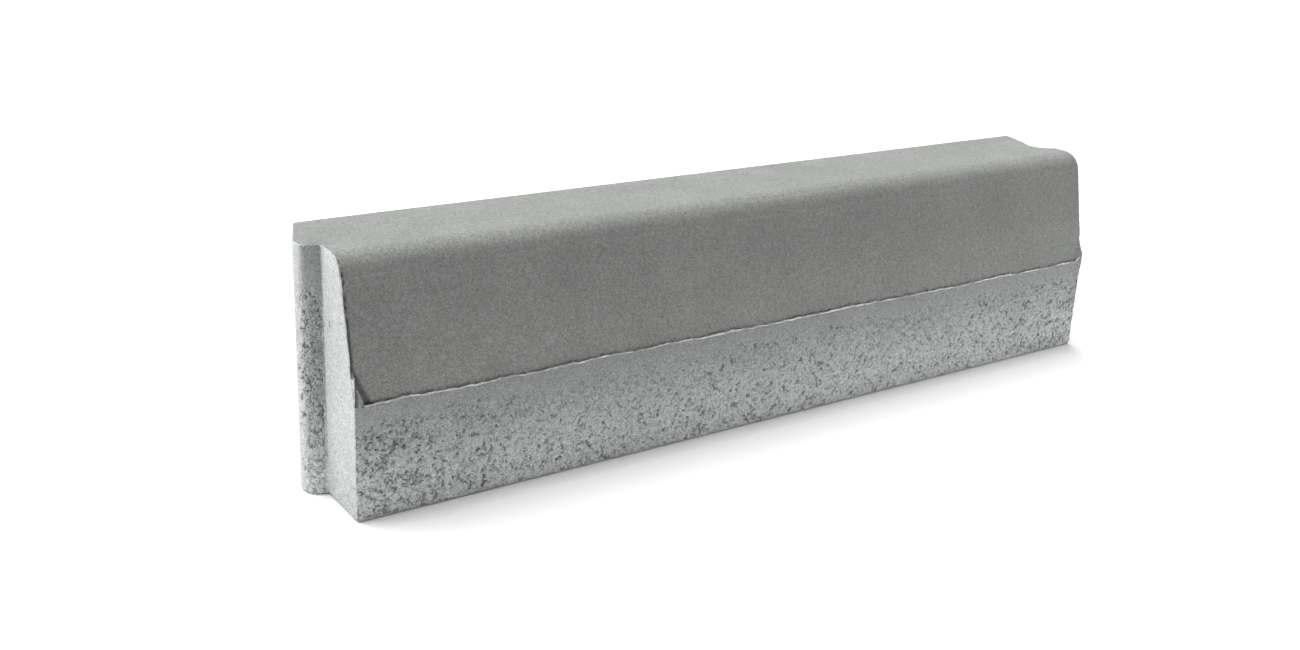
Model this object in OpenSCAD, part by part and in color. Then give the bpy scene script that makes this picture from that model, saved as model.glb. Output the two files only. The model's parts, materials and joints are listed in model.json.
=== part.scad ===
// Precast concrete kerb stone with a battered face and interlocking ends.
//
// X runs along the stone, from the tongue end to the groove end. Y runs from
// the kerb face (towards the road) to the back (towards the footway). Z is up.
// The origin is the centre of the bed: half way along the butt-to-butt length
// and half way across the foot.

/* [Body] */
// Length between the butt faces of the two ends, mm
length = 1000; // [500:10:1500]
// Height from the bed to the top, mm
height = 250; // [180:1:400]
// Width of the foot, mm
foot_width = 150; // [130:1:250]
// Width of the top, measured to where the battered face would meet it, mm
top_width = 120; // [100:1:125]

/* [Kerb face] */
// Height of the seam between the upright foot and the battered face, mm
seam_height = 115; // [60:1:140]
// How far the battered face starts behind the foot at the seam, mm
seam_ledge = 2; // [0.5:0.1:3]
// Radius of the rounded top arris on the kerb side, mm
arris_radius = 25; // [8:1:35]

/* [Corner gussets] */
// Length of a gusset along the seam, mm
gusset_length = 18; // [14:1:30]
// Length of its flat foot in the plane of the kerb face, mm
gusset_flat = 10; // [4:1:12]
// Crest above the seam at the tongue end, in the plane of the kerb face, mm
tongue_end_crest = 26; // [8:1:30]
// Height above the seam where the tongue end's gusset runs out on the batter, mm
tongue_end_run_out = 37; // [24:1:60]
// Crest above the seam at the groove end, in the plane of the kerb face, mm
groove_end_crest = 11; // [8:1:30]
// Height above the seam where the groove end's gusset runs out on the batter, mm
groove_end_run_out = 30; // [24:1:60]

/* [Interlocking ends] */
// Distance from the kerb face to the root of the tongue, mm
tongue_offset = 68.5; // [50:0.5:75]
// How far the tongue stands out of the butt face, mm
tongue_depth = 18.5; // [8:0.5:25]
// Radius of its round nose, at least as large as it stands out, mm
nose_radius = 20; // [10:0.5:30]
// How far the back corner lies behind the butt face, mm
heel_setback = 4; // [0:0.5:8]
// Gap that the groove leaves round the tongue of the next stone, mm
joint_gap = 1.5; // [1:0.5:4]

/* [Hidden] */
concrete = "#9a9d9b";
arc_steps = 96;
spare = 60;

// Where a straight line runs into an arc, its end is tucked this far inside the
// circle, so that the two cross instead of only touching.
tuck = 0.02;

// The battered face in section: it leans back by batter_lean over batter_rise.
batter_lean = foot_width - top_width - seam_ledge;
batter_rise = height - seam_height;
batter_angle = atan(batter_lean / batter_rise);
function batter_y(z) = seam_ledge + batter_lean * (z - seam_height) / batter_rise;

// The arris circle touches the top and the battered face.
arris_z = height - arris_radius;
arris_y = batter_y(arris_z) + arris_radius / cos(batter_angle);

// The nose circle passes through the root of the tongue, and the flat back flank
// of the joint runs from the back corner to the nose and touches that circle.
nose_x = nose_radius - tongue_depth;
nose_y = tongue_offset + sqrt(pow(nose_radius, 2) - pow(nose_x, 2));
heel_step = [heel_setback - nose_x, foot_width - nose_y];
flank_angle = atan2(heel_step[0], heel_step[1]) + asin(nose_radius / norm(heel_step));

// Section of the stone across its length, with x as Y and y as Z.
module section() {
    union() {
        polygon([
            [0, 0],
            [foot_width, 0],
            [foot_width, height],
            [arris_y, height],
            [arris_y - (arris_radius - tuck) * cos(batter_angle),
             arris_z + (arris_radius - tuck) * sin(batter_angle)],
            [seam_ledge, seam_height],
            [0, seam_height]
        ]);
        translate([arris_y, arris_z])
            circle(r = arris_radius, $fn = arc_steps);
    }
}

// Everything on the +X side of a joint, which runs from the bed to the top. The
// joint is the butt face, and the round nose and flat flank moved out by gap.
module beyond_joint(gap) {
    radius = nose_radius + gap;
    flank_start = radius - tuck;
    translate([0, 0, -spare])
    union() {
        linear_extrude(height = height + 2 * spare)
            polygon([
                [0, -spare],
                [0, nose_y],
                [nose_x - flank_start * cos(flank_angle), nose_y + flank_start * sin(flank_angle)],
                [heel_setback - gap / cos(flank_angle) + spare * tan(flank_angle),
                 foot_width + spare],
                [length + 2 * spare, foot_width + spare],
                [length + 2 * spare, -spare]
            ]);
        translate([nose_x, nose_y, 0])
            cylinder(h = height + 2 * spare, r = radius, $fn = arc_steps);
    }
}

// A corner gusset at the x = 0 end, seen from the seam: the plane of the foot is
// carried up to a crest, and two facets fall from it to the battered face. The
// facets end a little below that face, and the bottom a little below the seam.
module gusset(crest, run_out) {
    sink = 0.4;
    bury = 2;
    shoulder_y = batter_y(seam_height + run_out) + sink;
    tip_y = seam_ledge + sink;
    translate([0, 0, seam_height])
        polyhedron(
            points = [
                [0, 0, -bury],
                [gusset_flat, 0, -bury],
                [gusset_flat, 0, 0],
                [0, 0, crest],
                [gusset_length, tip_y, 0],
                [gusset_length, tip_y, -bury],
                [0, shoulder_y, run_out],
                [0, shoulder_y, -bury]
            ],
            faces = [
                [0, 3, 2, 1],
                [2, 3, 4],
                [3, 6, 4],
                [1, 2, 4, 5],
                [5, 4, 6, 7],
                [7, 6, 3, 0],
                [0, 1, 5, 7]
            ]
        );
}

module kerb_stone() {
    color(concrete)
    translate([-length / 2, -foot_width / 2, 0])
    difference() {
        intersection() {
            union() {
                translate([-spare, 0, 0])
                    rotate([90, 0, 90])
                        linear_extrude(height = length + 2 * spare) section();
                gusset(tongue_end_crest, tongue_end_run_out);
                translate([length, 0, 0])
                    mirror([1, 0, 0])
                        gusset(groove_end_crest, groove_end_run_out);
            }
            beyond_joint(gap = 0);
        }
        translate([length, 0, 0]) beyond_joint(gap = joint_gap);
    }
}

kerb_stone();
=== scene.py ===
"""The looks of a precast concrete kerb stone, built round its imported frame.

The stone is one casting of two mixes: a fine facing mix on the top and the
battered face, and a coarse core mix below and behind it. The body is built from
its section and plan, remeshed finely, and then worn and pitted inwards. Thin
flash is added where the mould halves met. All sizes are in metres.
"""

import json
import logging
import math
from collections.abc import Sequence
from dataclasses import dataclass, field
from enum import Enum, IntEnum

import bmesh
import bpy
import numpy as np
from mathutils import Matrix, Vector

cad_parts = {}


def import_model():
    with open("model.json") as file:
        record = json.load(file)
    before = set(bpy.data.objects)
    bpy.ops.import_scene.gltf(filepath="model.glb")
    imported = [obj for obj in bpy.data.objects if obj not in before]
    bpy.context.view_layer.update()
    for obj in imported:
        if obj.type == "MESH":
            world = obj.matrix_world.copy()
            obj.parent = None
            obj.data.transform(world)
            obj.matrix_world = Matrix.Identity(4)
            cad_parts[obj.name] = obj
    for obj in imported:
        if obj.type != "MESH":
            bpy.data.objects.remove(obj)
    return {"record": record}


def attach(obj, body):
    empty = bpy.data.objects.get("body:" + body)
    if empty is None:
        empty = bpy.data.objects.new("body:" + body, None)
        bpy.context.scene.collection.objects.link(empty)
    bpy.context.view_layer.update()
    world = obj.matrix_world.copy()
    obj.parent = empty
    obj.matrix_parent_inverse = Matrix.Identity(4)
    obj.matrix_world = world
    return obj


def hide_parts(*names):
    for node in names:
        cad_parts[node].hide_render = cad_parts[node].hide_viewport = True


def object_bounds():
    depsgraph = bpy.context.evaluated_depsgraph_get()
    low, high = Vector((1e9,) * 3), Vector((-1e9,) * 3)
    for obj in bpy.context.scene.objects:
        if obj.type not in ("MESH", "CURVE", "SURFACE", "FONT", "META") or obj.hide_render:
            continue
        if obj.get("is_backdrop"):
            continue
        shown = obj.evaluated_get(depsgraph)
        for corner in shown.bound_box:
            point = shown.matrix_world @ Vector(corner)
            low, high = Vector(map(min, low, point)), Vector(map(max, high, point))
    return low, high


LOG = logging.getLogger("kerb_stone")
MM = 0.001
NODE = "kerb_stone"
BODY = "root"
APART = (0.0, 3.1, 7.7)
SPECULAR = 0.25
SENSOR_WIDTH = 36.0

Array = np.ndarray
Socket = bpy.types.NodeSocket
Place = tuple[float, float, float]


class Seed(IntEnum):
    """The seed of each noise, so that every run draws the same numbers."""

    SKIN_LINE = 11
    SKIN_RAGS = 12
    CRATERS = 31
    PINHOLES = 41
    WEAR = 51
    WEAR_RAGS = 52
    CHIP = 55
    CHIP_RAGS = 56
    BREAKS = 61
    SWELL = 71
    BACK_SHADE = 75
    GRAIN = 81
    MARKS = 91
    MARK_RAGS = 92
    SEAM = 95
    SEAM_RAGS = 96
    SEAM_FLASH = 101
    TONGUE_FLASH = 111
    GROOVE_FLASH = 121
    FLANK_FLASH = 131


def ramp(value: Array, low: float, high: float) -> Array:
    """Smooth step from 0 at low to 1 at high.

    Args:
        value: The numbers to grade.
        low: Where the step starts.
        high: Where it ends, which may be below low for a falling step.

    Returns:
        Numbers from 0 to 1.
    """
    t = np.clip((value - low) / (high - low), 0.0, 1.0)
    return t * t * (3.0 - 2.0 * t)


@dataclass(frozen=True)
class Lattice:
    """Seeded noise on a cubic lattice, the same on every run.

    Attributes:
        seed: Which of the noises this is.
    """

    seed: int

    def number(self, cell: Array, channel: int) -> Array:
        """Gives each cell its own random number.

        Args:
            cell: Whole cell coordinates, one row of three per cell.
            channel: Which of the cell's random numbers is wanted.

        Returns:
            Numbers from 0 to 1.
        """
        h = cell.astype(np.uint32)
        mixed = h[:, 0] * np.uint32(73856093)
        mixed = mixed ^ (h[:, 1] * np.uint32(19349663))
        mixed = mixed ^ (h[:, 2] * np.uint32(83492791))
        mixed = mixed + np.uint32((self.seed * 2654435 + channel * 974711) % 2**32)
        mixed = (mixed ^ (mixed >> np.uint32(16))) * np.uint32(0x45D9F3B)
        mixed = (mixed ^ (mixed >> np.uint32(16))) * np.uint32(0x45D9F3B)
        mixed = mixed ^ (mixed >> np.uint32(16))
        return mixed.astype(np.float32) / np.float32(2**32)

    def smooth(self, points: Array, size: float) -> Array:
        """Soft cloudy noise.

        Args:
            points: Places, one row of three per point.
            size: Spacing of the clouds.

        Returns:
            Numbers from 0 to 1, one per point.
        """
        scaled = points / size
        base = np.floor(scaled)
        part = scaled - base
        part = part * part * (3.0 - 2.0 * part)
        base = base.astype(np.int64)
        total = np.zeros(len(points), np.float32)
        for corner in np.ndindex(2, 2, 2):
            step = np.array(corner)
            weight = np.prod(np.where(step, part, 1.0 - part), axis=1)
            total += weight * self.number(base + step, 0)
        return total

    def bend(self, points: Array, size: float) -> Array:
        """Offsets that wander from place to place.

        Args:
            points: Places, one row of three per point.
            size: Spacing of the clouds.

        Returns:
            Offsets from -0.5 to 0.5, one row of three per point.
        """
        return np.stack([self.smooth(points + shift, size) - 0.5 for shift in APART], axis=1)

    def cells(self, points: Array, size: float) -> tuple[Array, Array, Array]:
        """Distances to the scattered centres of cells.

        Args:
            points: Places, one row of three per point.
            size: Mean spacing of the centres.

        Returns:
            The distance to the nearest centre and to the second nearest, both in
            units of size, and the nearest cell's own random number.
        """
        scaled = points / size
        base = np.floor(scaled).astype(np.int64)
        first = np.full(len(points), 9.0, np.float32)
        second = first.copy()
        owner = np.zeros(len(points), np.float32)
        for neighbour in np.ndindex(3, 3, 3):
            cell = base + (np.array(neighbour) - 1)
            centre = np.stack([self.number(cell, axis) for axis in (1, 2, 3)], axis=1)
            away = np.linalg.norm(cell + centre - scaled, axis=1).astype(np.float32)
            nearer = away < first
            second = np.where(nearer, first, np.minimum(second, away))
            owner = np.where(nearer, self.number(cell, 4), owner)
            first = np.where(nearer, away, first)
        return first, second, owner


@dataclass(frozen=True)
class Voids:
    """Open voids of one size range, scattered over a surface.

    Attributes:
        seed: Seed of their places.
        spacing: Mean distance between the places where a void may be.
        share: Share of those places that has one.
        radius: Smallest and largest radius.
        depth: Depth of the largest.
        raggedness: How far the outline wanders.
    """

    seed: int
    spacing: float
    share: float
    radius: tuple[float, float]
    depth: float
    raggedness: float

    def depth_at(self, points: Array) -> Array:
        """How deep the voids are at each point.

        Args:
            points: Places on the surface, one row of three per point.

        Returns:
            Depths, 0 where there is no void.
        """
        shift = Lattice(self.seed + 1).bend(points, 2.2 * self.radius[0])
        moved = points + 2.0 * self.raggedness * shift
        away, _, number = Lattice(self.seed).cells(moved, self.spacing)
        low, high = self.radius
        radius = low + (high - low) * (number / self.share) ** 2
        bowl = np.clip(1.0 - (away * self.spacing / radius) ** 2, 0.0, 1.0) ** 0.6
        depth = self.depth * radius / high * bowl
        return np.where(number < self.share, depth, 0.0)


@dataclass(frozen=True)
class OpenGrain:
    """The open surface of a stiff mix: gaps between grains that were not closed.

    Attributes:
        seed: Seed of the grains.
        grain: Mean size of the grains.
        patch: Size of the patches where the gaps are open or closed.
        closed: Patch value up to which the gaps stay closed.
        open: Patch value from which they are fully open.
        depth: Depth of the gaps.
        mottle: Height of the uneven skin between them.
    """

    seed: int = Seed.GRAIN
    grain: float = 3.3 * MM
    patch: float = 7.5 * MM
    closed: float = 0.20
    open: float = 0.72
    depth: float = 1.9 * MM
    mottle: float = 0.9 * MM

    def sample(self, points: Array, amount: Array) -> tuple[Array, Array]:
        """Depth and openness of the surface at each point.

        Args:
            points: Places on the surface, one row of three per point.
            amount: How open the surface is there: 0 is closed and 1 is normal.

        Returns:
            The depth, and how much of a gap there is, from 0 to 1.
        """
        bend = Lattice(self.seed + 1).bend(points, 0.7 * self.grain)
        crinkle = Lattice(self.seed + 2).bend(points, 0.35 * self.grain)
        moved = points + self.grain * (0.5 * bend + 0.3 * crinkle)
        near, second, own = Lattice(self.seed).cells(moved, self.grain)
        broad = Lattice(self.seed + 3).smooth(points, self.patch)
        local = Lattice(self.seed + 4).smooth(points, 0.45 * self.patch)
        openness = (0.16 + 0.30 * broad + 0.40 * local) * amount
        start = 1.0 - 0.56 * ramp(openness, self.closed, self.open)
        gap = ramp(near, start, start + 0.22)
        crack = ramp(second - near, 0.14, 0.0) * ramp(openness, 0.35, 0.7)
        uneven = Lattice(self.seed + 5).smooth(points, 0.6 * self.grain)
        rolling = Lattice(self.seed + 6).smooth(points, 1.6 * self.grain)
        rough = np.clip(amount, 0.0, 1.0)
        depth = self.depth * (0.45 + 0.55 * own) * gap + 0.30 * self.depth * crack
        depth += self.mottle * rough * (0.5 * uneven + 0.35 * rolling + 0.15 * own)
        return depth, np.maximum(gap, 0.6 * crack)


def join_rings(shape: bmesh.types.BMesh, here: list, there: list) -> None:
    """Closes the strip of faces between two rings of as many corners."""
    for i in range(len(here)):
        j = (i + 1) % len(here)
        shape.faces.new((here[i], here[j], there[j], there[i]))


def shown(name: str, shape: bmesh.types.BMesh) -> bpy.types.Object:
    """Turns a closed shape into an object of the scene.

    Args:
        name: Name of the object and its mesh.
        shape: The shape, which is used up.

    Returns:
        The object.
    """
    bmesh.ops.recalc_face_normals(shape, faces=shape.faces)
    mesh = bpy.data.meshes.new(name)
    shape.to_mesh(mesh)
    shape.free()
    made = bpy.data.objects.new(name, mesh)
    bpy.context.scene.collection.objects.link(made)
    return made


@dataclass(frozen=True)
class KerbSize:
    """The stone's sizes, the same as the solid's.

    Attributes:
        length: Between the butt faces.
        height: From the bed to the top.
        foot_width: Across the foot.
        top_width: Across the top, to where the battered face would meet it.
        seam_height: Top of the upright foot.
        seam_ledge: How far the battered face starts behind the foot.
        arris_radius: Radius of the rounded top arris.
        gusset_length: Length of a corner gusset along the seam.
        gusset_flat: Length of its flat foot.
        crests: Its crest above the seam at the tongue end and at the groove end.
        run_outs: Where it runs out on the batter, at those two ends.
        tongue_offset: From the kerb face to the root of the tongue.
        tongue_depth: How far the tongue stands out.
        nose_radius: Radius of its round nose.
        heel_setback: How far the back corner lies behind the butt face.
        joint_gap: Gap round the tongue of the next stone.
    """

    length: float
    height: float
    foot_width: float
    top_width: float = 120 * MM
    seam_height: float = 115 * MM
    seam_ledge: float = 2 * MM
    arris_radius: float = 25 * MM
    gusset_length: float = 18 * MM
    gusset_flat: float = 10 * MM
    crests: tuple[float, float] = (26 * MM, 11 * MM)
    run_outs: tuple[float, float] = (37 * MM, 30 * MM)
    tongue_offset: float = 68.5 * MM
    tongue_depth: float = 18.5 * MM
    nose_radius: float = 20 * MM
    heel_setback: float = 4 * MM
    joint_gap: float = 1.5 * MM

    @classmethod
    def from_record(cls, record: dict) -> "KerbSize":
        """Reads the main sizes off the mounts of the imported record.

        Args:
            record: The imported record.

        Returns:
            The stone's sizes.
        """
        place = {mount["name"]: mount["pos_m"] for mount in record["mounts"]}
        return cls(
            length=place["groove_end_butt"][0] - place["tongue_end_butt"][0],
            height=place["top"][2] - place["bed"][2],
            foot_width=2 * place["back"][1],
        )

    @property
    def face_y(self) -> float:
        """Where the kerb face of the foot is."""
        return -self.foot_width / 2

    @property
    def back_y(self) -> float:
        """Where the back is."""
        return self.foot_width / 2

    @property
    def batter_angle(self) -> float:
        """How far the battered face leans back from upright."""
        lean = self.foot_width - self.top_width - self.seam_ledge
        return math.atan(lean / (self.height - self.seam_height))

    def batter_y(self, z: float) -> float:
        """Where the battered face is at height z."""
        rise = z - self.seam_height
        return self.face_y + self.seam_ledge + rise * math.tan(self.batter_angle)

    @property
    def arris_centre(self) -> tuple[float, float]:
        """Centre of the arris circle, as y and z."""
        z = self.height - self.arris_radius
        return self.batter_y(z) + self.arris_radius / math.cos(self.batter_angle), z

    @property
    def nose_centre(self) -> tuple[float, float]:
        """Centre of the nose circle at the tongue end, as x and y."""
        x = self.nose_radius - self.tongue_depth
        y = self.tongue_offset + math.sqrt(self.nose_radius**2 - x**2)
        return x - self.length / 2, y + self.face_y

    @property
    def flank_angle(self) -> float:
        """Angle between the flat flank of the joint and the stone's width."""
        x, y = self.nose_centre
        step = (self.heel_setback - self.length / 2 - x, self.back_y - y)
        return math.atan2(*step) + math.asin(self.nose_radius / math.hypot(*step))


class Face(Enum):
    """The groups of surfaces that an arris can lie between."""

    PROFILE = 0
    BACK = 1
    BED = 2
    TONGUE_END = 3
    GROOVE_END = 4

    @staticmethod
    def among(face: Array, *wanted: "Face") -> Array:
        """Whether each point lies on one of the wanted faces."""
        return np.isin(face, [kind.value for kind in wanted])


@dataclass(frozen=True)
class KerbForm:
    """The exact form of the stone, as outlines and as depths below its faces.

    Attributes:
        size: The stone's sizes.
        arc_steps: Segments in each rounded corner.
    """

    size: KerbSize
    arc_steps: int = 28

    def section(self) -> list[tuple[float, float]]:
        """The outline across the length, as y and z, anticlockwise."""
        s = self.size
        y, z = s.arris_centre
        start, end = math.pi / 2, math.pi - s.batter_angle
        turn = [start + (end - start) * i / self.arc_steps for i in range(self.arc_steps + 1)]
        return [
            (s.face_y, 0.0),
            (s.back_y, 0.0),
            (s.back_y, s.height),
            *((y + s.arris_radius * math.cos(a), z + s.arris_radius * math.sin(a)) for a in turn),
            (s.face_y + s.seam_ledge, s.seam_height),
            (s.face_y, s.seam_height),
        ]

    def joint(self, gap: float) -> list[tuple[float, float]]:
        """The joint line in plan, from the kerb face to the back.

        Args:
            gap: How far the nose and the flank are moved out.

        Returns:
            Points as x and y, at the tongue end.
        """
        s = self.size
        x, y = s.nose_centre
        radius = s.nose_radius + gap
        butt = -s.length / 2
        root = math.asin((x - butt) / radius)
        start, end = math.pi / 2 - root, -s.flank_angle
        turn = [start + (end - start) * i / self.arc_steps for i in range(self.arc_steps + 1)]
        spare = 0.05
        heel = butt + s.heel_setback - gap / math.cos(s.flank_angle)
        return [
            (butt, s.face_y - spare),
            *((x - radius * math.cos(a), y - radius * math.sin(a)) for a in turn),
            (heel + spare * math.tan(s.flank_angle), s.back_y + spare),
        ]

    def plan(self) -> list[tuple[float, float]]:
        """The outline seen from above, as x and y."""
        far = [(x + self.size.length, y) for x, y in self.joint(self.size.joint_gap)]
        return self.joint(0.0)[::-1] + far

    def gusset(self, end: int) -> tuple[list[tuple[float, float, float]], list[tuple[int, ...]]]:
        """A corner gusset at one end of the seam.

        Args:
            end: 0 for the tongue end and 1 for the groove end.

        Returns:
            Its corners and its faces.
        """
        s = self.size
        side = 1 - 2 * end
        butt = -side * s.length / 2
        sink, bury = 0.4 * MM, 2 * MM
        low, seam = s.seam_height - bury, s.seam_height
        top = seam + s.run_outs[end]
        tip = s.face_y + s.seam_ledge + sink
        shoulder = s.batter_y(top) + sink
        corners = [
            (butt, s.face_y, low),
            (butt + side * s.gusset_flat, s.face_y, low),
            (butt + side * s.gusset_flat, s.face_y, seam),
            (butt, s.face_y, seam + s.crests[end]),
            (butt + side * s.gusset_length, tip, seam),
            (butt + side * s.gusset_length, tip, low),
            (butt, shoulder, top),
            (butt, shoulder, low),
        ]
        faces = [(0, 3, 2, 1), (2, 3, 4), (3, 6, 4), (1, 2, 4, 5), (5, 4, 6, 7), (7, 6, 3, 0)]
        return corners, [*faces, (0, 1, 5, 7)]

    def seam_stray(self, x: Array) -> Array:
        """How far the seam strays up or down from its straight line.

        Args:
            x: Places along the stone.

        Returns:
            The height above the straight line.
        """
        place = np.stack([x, np.zeros_like(x), np.zeros_like(x)], axis=1)
        long = Lattice(Seed.SEAM).smooth(place, 38 * MM) - 0.5
        short = Lattice(Seed.SEAM_RAGS).smooth(place, 9 * MM) - 0.5
        inside = ramp(self.size.length / 2 - np.abs(x), 18 * MM, 40 * MM)
        return inside * (2.6 * long + 1.3 * short) * MM

    def joint_depth(self, x: Array, y: Array, gap: float) -> tuple[Array, Array]:
        """How far points lie beyond the joint line of the tongue end.

        Args:
            x: Along the stone.
            y: Across it.
            gap: How far the nose and the flank are moved out.

        Returns:
            The distance, and the line's outward direction in plan at the nearest
            point.
        """
        s = self.size
        cx, cy = s.nose_centre
        angle = s.flank_angle
        radius = s.nose_radius + gap
        from_nose = np.stack([x - cx, y - cy], axis=1)
        away = np.linalg.norm(from_nose, axis=1) + 1e-9
        inside_nose = radius - away
        along = from_nose @ np.array([math.sin(angle), math.cos(angle)])
        outward = np.array([-math.cos(angle), math.sin(angle)])
        inside_flank = radius - from_nose @ outward
        inside_butt = x + s.length / 2
        depth, out = inside_nose, from_nose / away[:, None]
        butt = (from_nose[:, 1] < 0) & (inside_butt > inside_nose)
        depth = np.where(butt, inside_butt, depth)
        out = np.where(butt[:, None], np.array([-1.0, 0.0]), out)
        flank = along > 0
        depth = np.where(flank, inside_flank, depth)
        out = np.where(flank[:, None], outward, out)
        return depth, out

    def profile_depth(self, y: Array, z: Array) -> tuple[Array, Array]:
        """How far points lie below the top, the arris, the batter or the foot's face.

        Args:
            y: Across the stone.
            z: Height.

        Returns:
            The depth, and the outward direction as y and z.
        """
        s = self.size
        cy, cz = s.arris_centre
        angle = s.batter_angle
        lean = np.array([-math.cos(angle), math.sin(angle)])
        from_seam = np.stack([y - s.face_y - s.seam_ledge, z - s.seam_height], axis=1)
        below_batter = -(from_seam @ lean)
        below_top = s.height - z
        from_arris = np.stack([y - cy, z - cz], axis=1)
        away = np.linalg.norm(from_arris, axis=1) + 1e-9
        on_top = below_top < below_batter
        depth = np.where(on_top, below_top, below_batter)
        out = np.where(on_top[:, None], np.array([0.0, 1.0]), lean)
        uphill = np.array([math.sin(angle), math.cos(angle)])
        round_part = (from_arris[:, 0] < 0) & (from_arris @ uphill > 0)
        depth = np.where(round_part, s.arris_radius - away, depth)
        out = np.where(round_part[:, None], from_arris / away[:, None], out)
        foot = z <= s.seam_height + 0.2 * MM
        depth = np.where(foot, y - s.face_y, depth)
        out = np.where(foot[:, None], np.array([-1.0, 0.0]), out)
        return depth, out

    def depths(self, points: Array) -> tuple[Array, Array]:
        """How deep each point lies below each group of faces.

        Args:
            points: Places near the surface, one row of three per point.

        Returns:
            Depths, one column per Face, and outward directions, one row of three
            per point and Face.
        """
        s = self.size
        x, y, z = points.T
        depth = np.zeros((len(points), len(Face)))
        out = np.zeros((len(points), len(Face), 3))
        depth[:, Face.PROFILE.value], out[:, Face.PROFILE.value, 1:] = self.profile_depth(y, z)
        depth[:, Face.BACK.value] = s.back_y - y
        out[:, Face.BACK.value, 1] = 1.0
        depth[:, Face.BED.value] = z
        out[:, Face.BED.value, 2] = -1.0
        near, out_near = self.joint_depth(x, y, 0.0)
        depth[:, Face.TONGUE_END.value], out[:, Face.TONGUE_END.value, :2] = near, out_near
        far, out_far = self.joint_depth(x - s.length, y, s.joint_gap)
        depth[:, Face.GROOVE_END.value], out[:, Face.GROOVE_END.value, :2] = -far, -out_far
        return np.maximum(depth, 0.0), out


@dataclass(frozen=True)
class SkinLine:
    """Where the closed skin of the casting ends and its open grain starts.

    Attributes:
        below_seam: How far the skin reaches below the seam on the kerb face.
        below_top: How far it reaches below the top on the ends and the back.
        wander: How far the line strays.
        blend: Width of the change.
    """

    below_seam: float = 14 * MM
    below_top: float = 42 * MM
    wander: float = 14 * MM
    blend: float = 24 * MM

    def open_share(self, points: Array, on_face: Array, size: KerbSize) -> Array:
        """Share of open grain at each point of the surface.

        Args:
            points: Places on the surface, one row of three per point.
            on_face: Whether each lies on the kerb face.
            size: The stone's sizes.

        Returns:
            0 on the closed skin and 1 on the open grain.
        """
        stray = Lattice(Seed.SKIN_LINE).smooth(points, 30 * MM)
        stray = stray + Lattice(Seed.SKIN_RAGS).smooth(points, 9 * MM) - 1.0
        line = np.where(
            on_face, size.seam_height - self.below_seam, size.height - self.below_top
        )
        line = line + self.wander * stray
        return ramp(points[:, 2], line + self.blend / 2, line - self.blend / 2)


@dataclass(frozen=True)
class Chip:
    """A corner that has broken away.

    Attributes:
        centre: Centre of the ball that takes the corner off.
        radius: Radius of the ball.
        raggedness: How far its surface wanders.
    """

    centre: tuple[float, float, float]
    radius: float
    raggedness: float = 1.5 * MM

    def cut(self, points: Array) -> Array:
        """Takes the corner off.

        Args:
            points: The mesh's vertices, one row of three per point.

        Returns:
            The points, with those inside the ball moved to its surface.
        """
        away = points - np.array(self.centre)
        length = np.linalg.norm(away, axis=1)
        near = np.flatnonzero(length < self.radius + self.raggedness)
        if not len(near):
            return points
        spot = points[near]
        wander = Lattice(Seed.CHIP).smooth(spot, 3 * MM)
        wander = wander + Lattice(Seed.CHIP_RAGS).smooth(spot, 1.5 * MM) - 1.0
        radius = self.radius + self.raggedness * wander
        stretch = np.maximum(1.0, radius / np.maximum(length[near], 1e-6))
        moved = points.copy()
        moved[near] = np.array(self.centre) + away[near] * stretch[:, None]
        return moved


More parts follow.
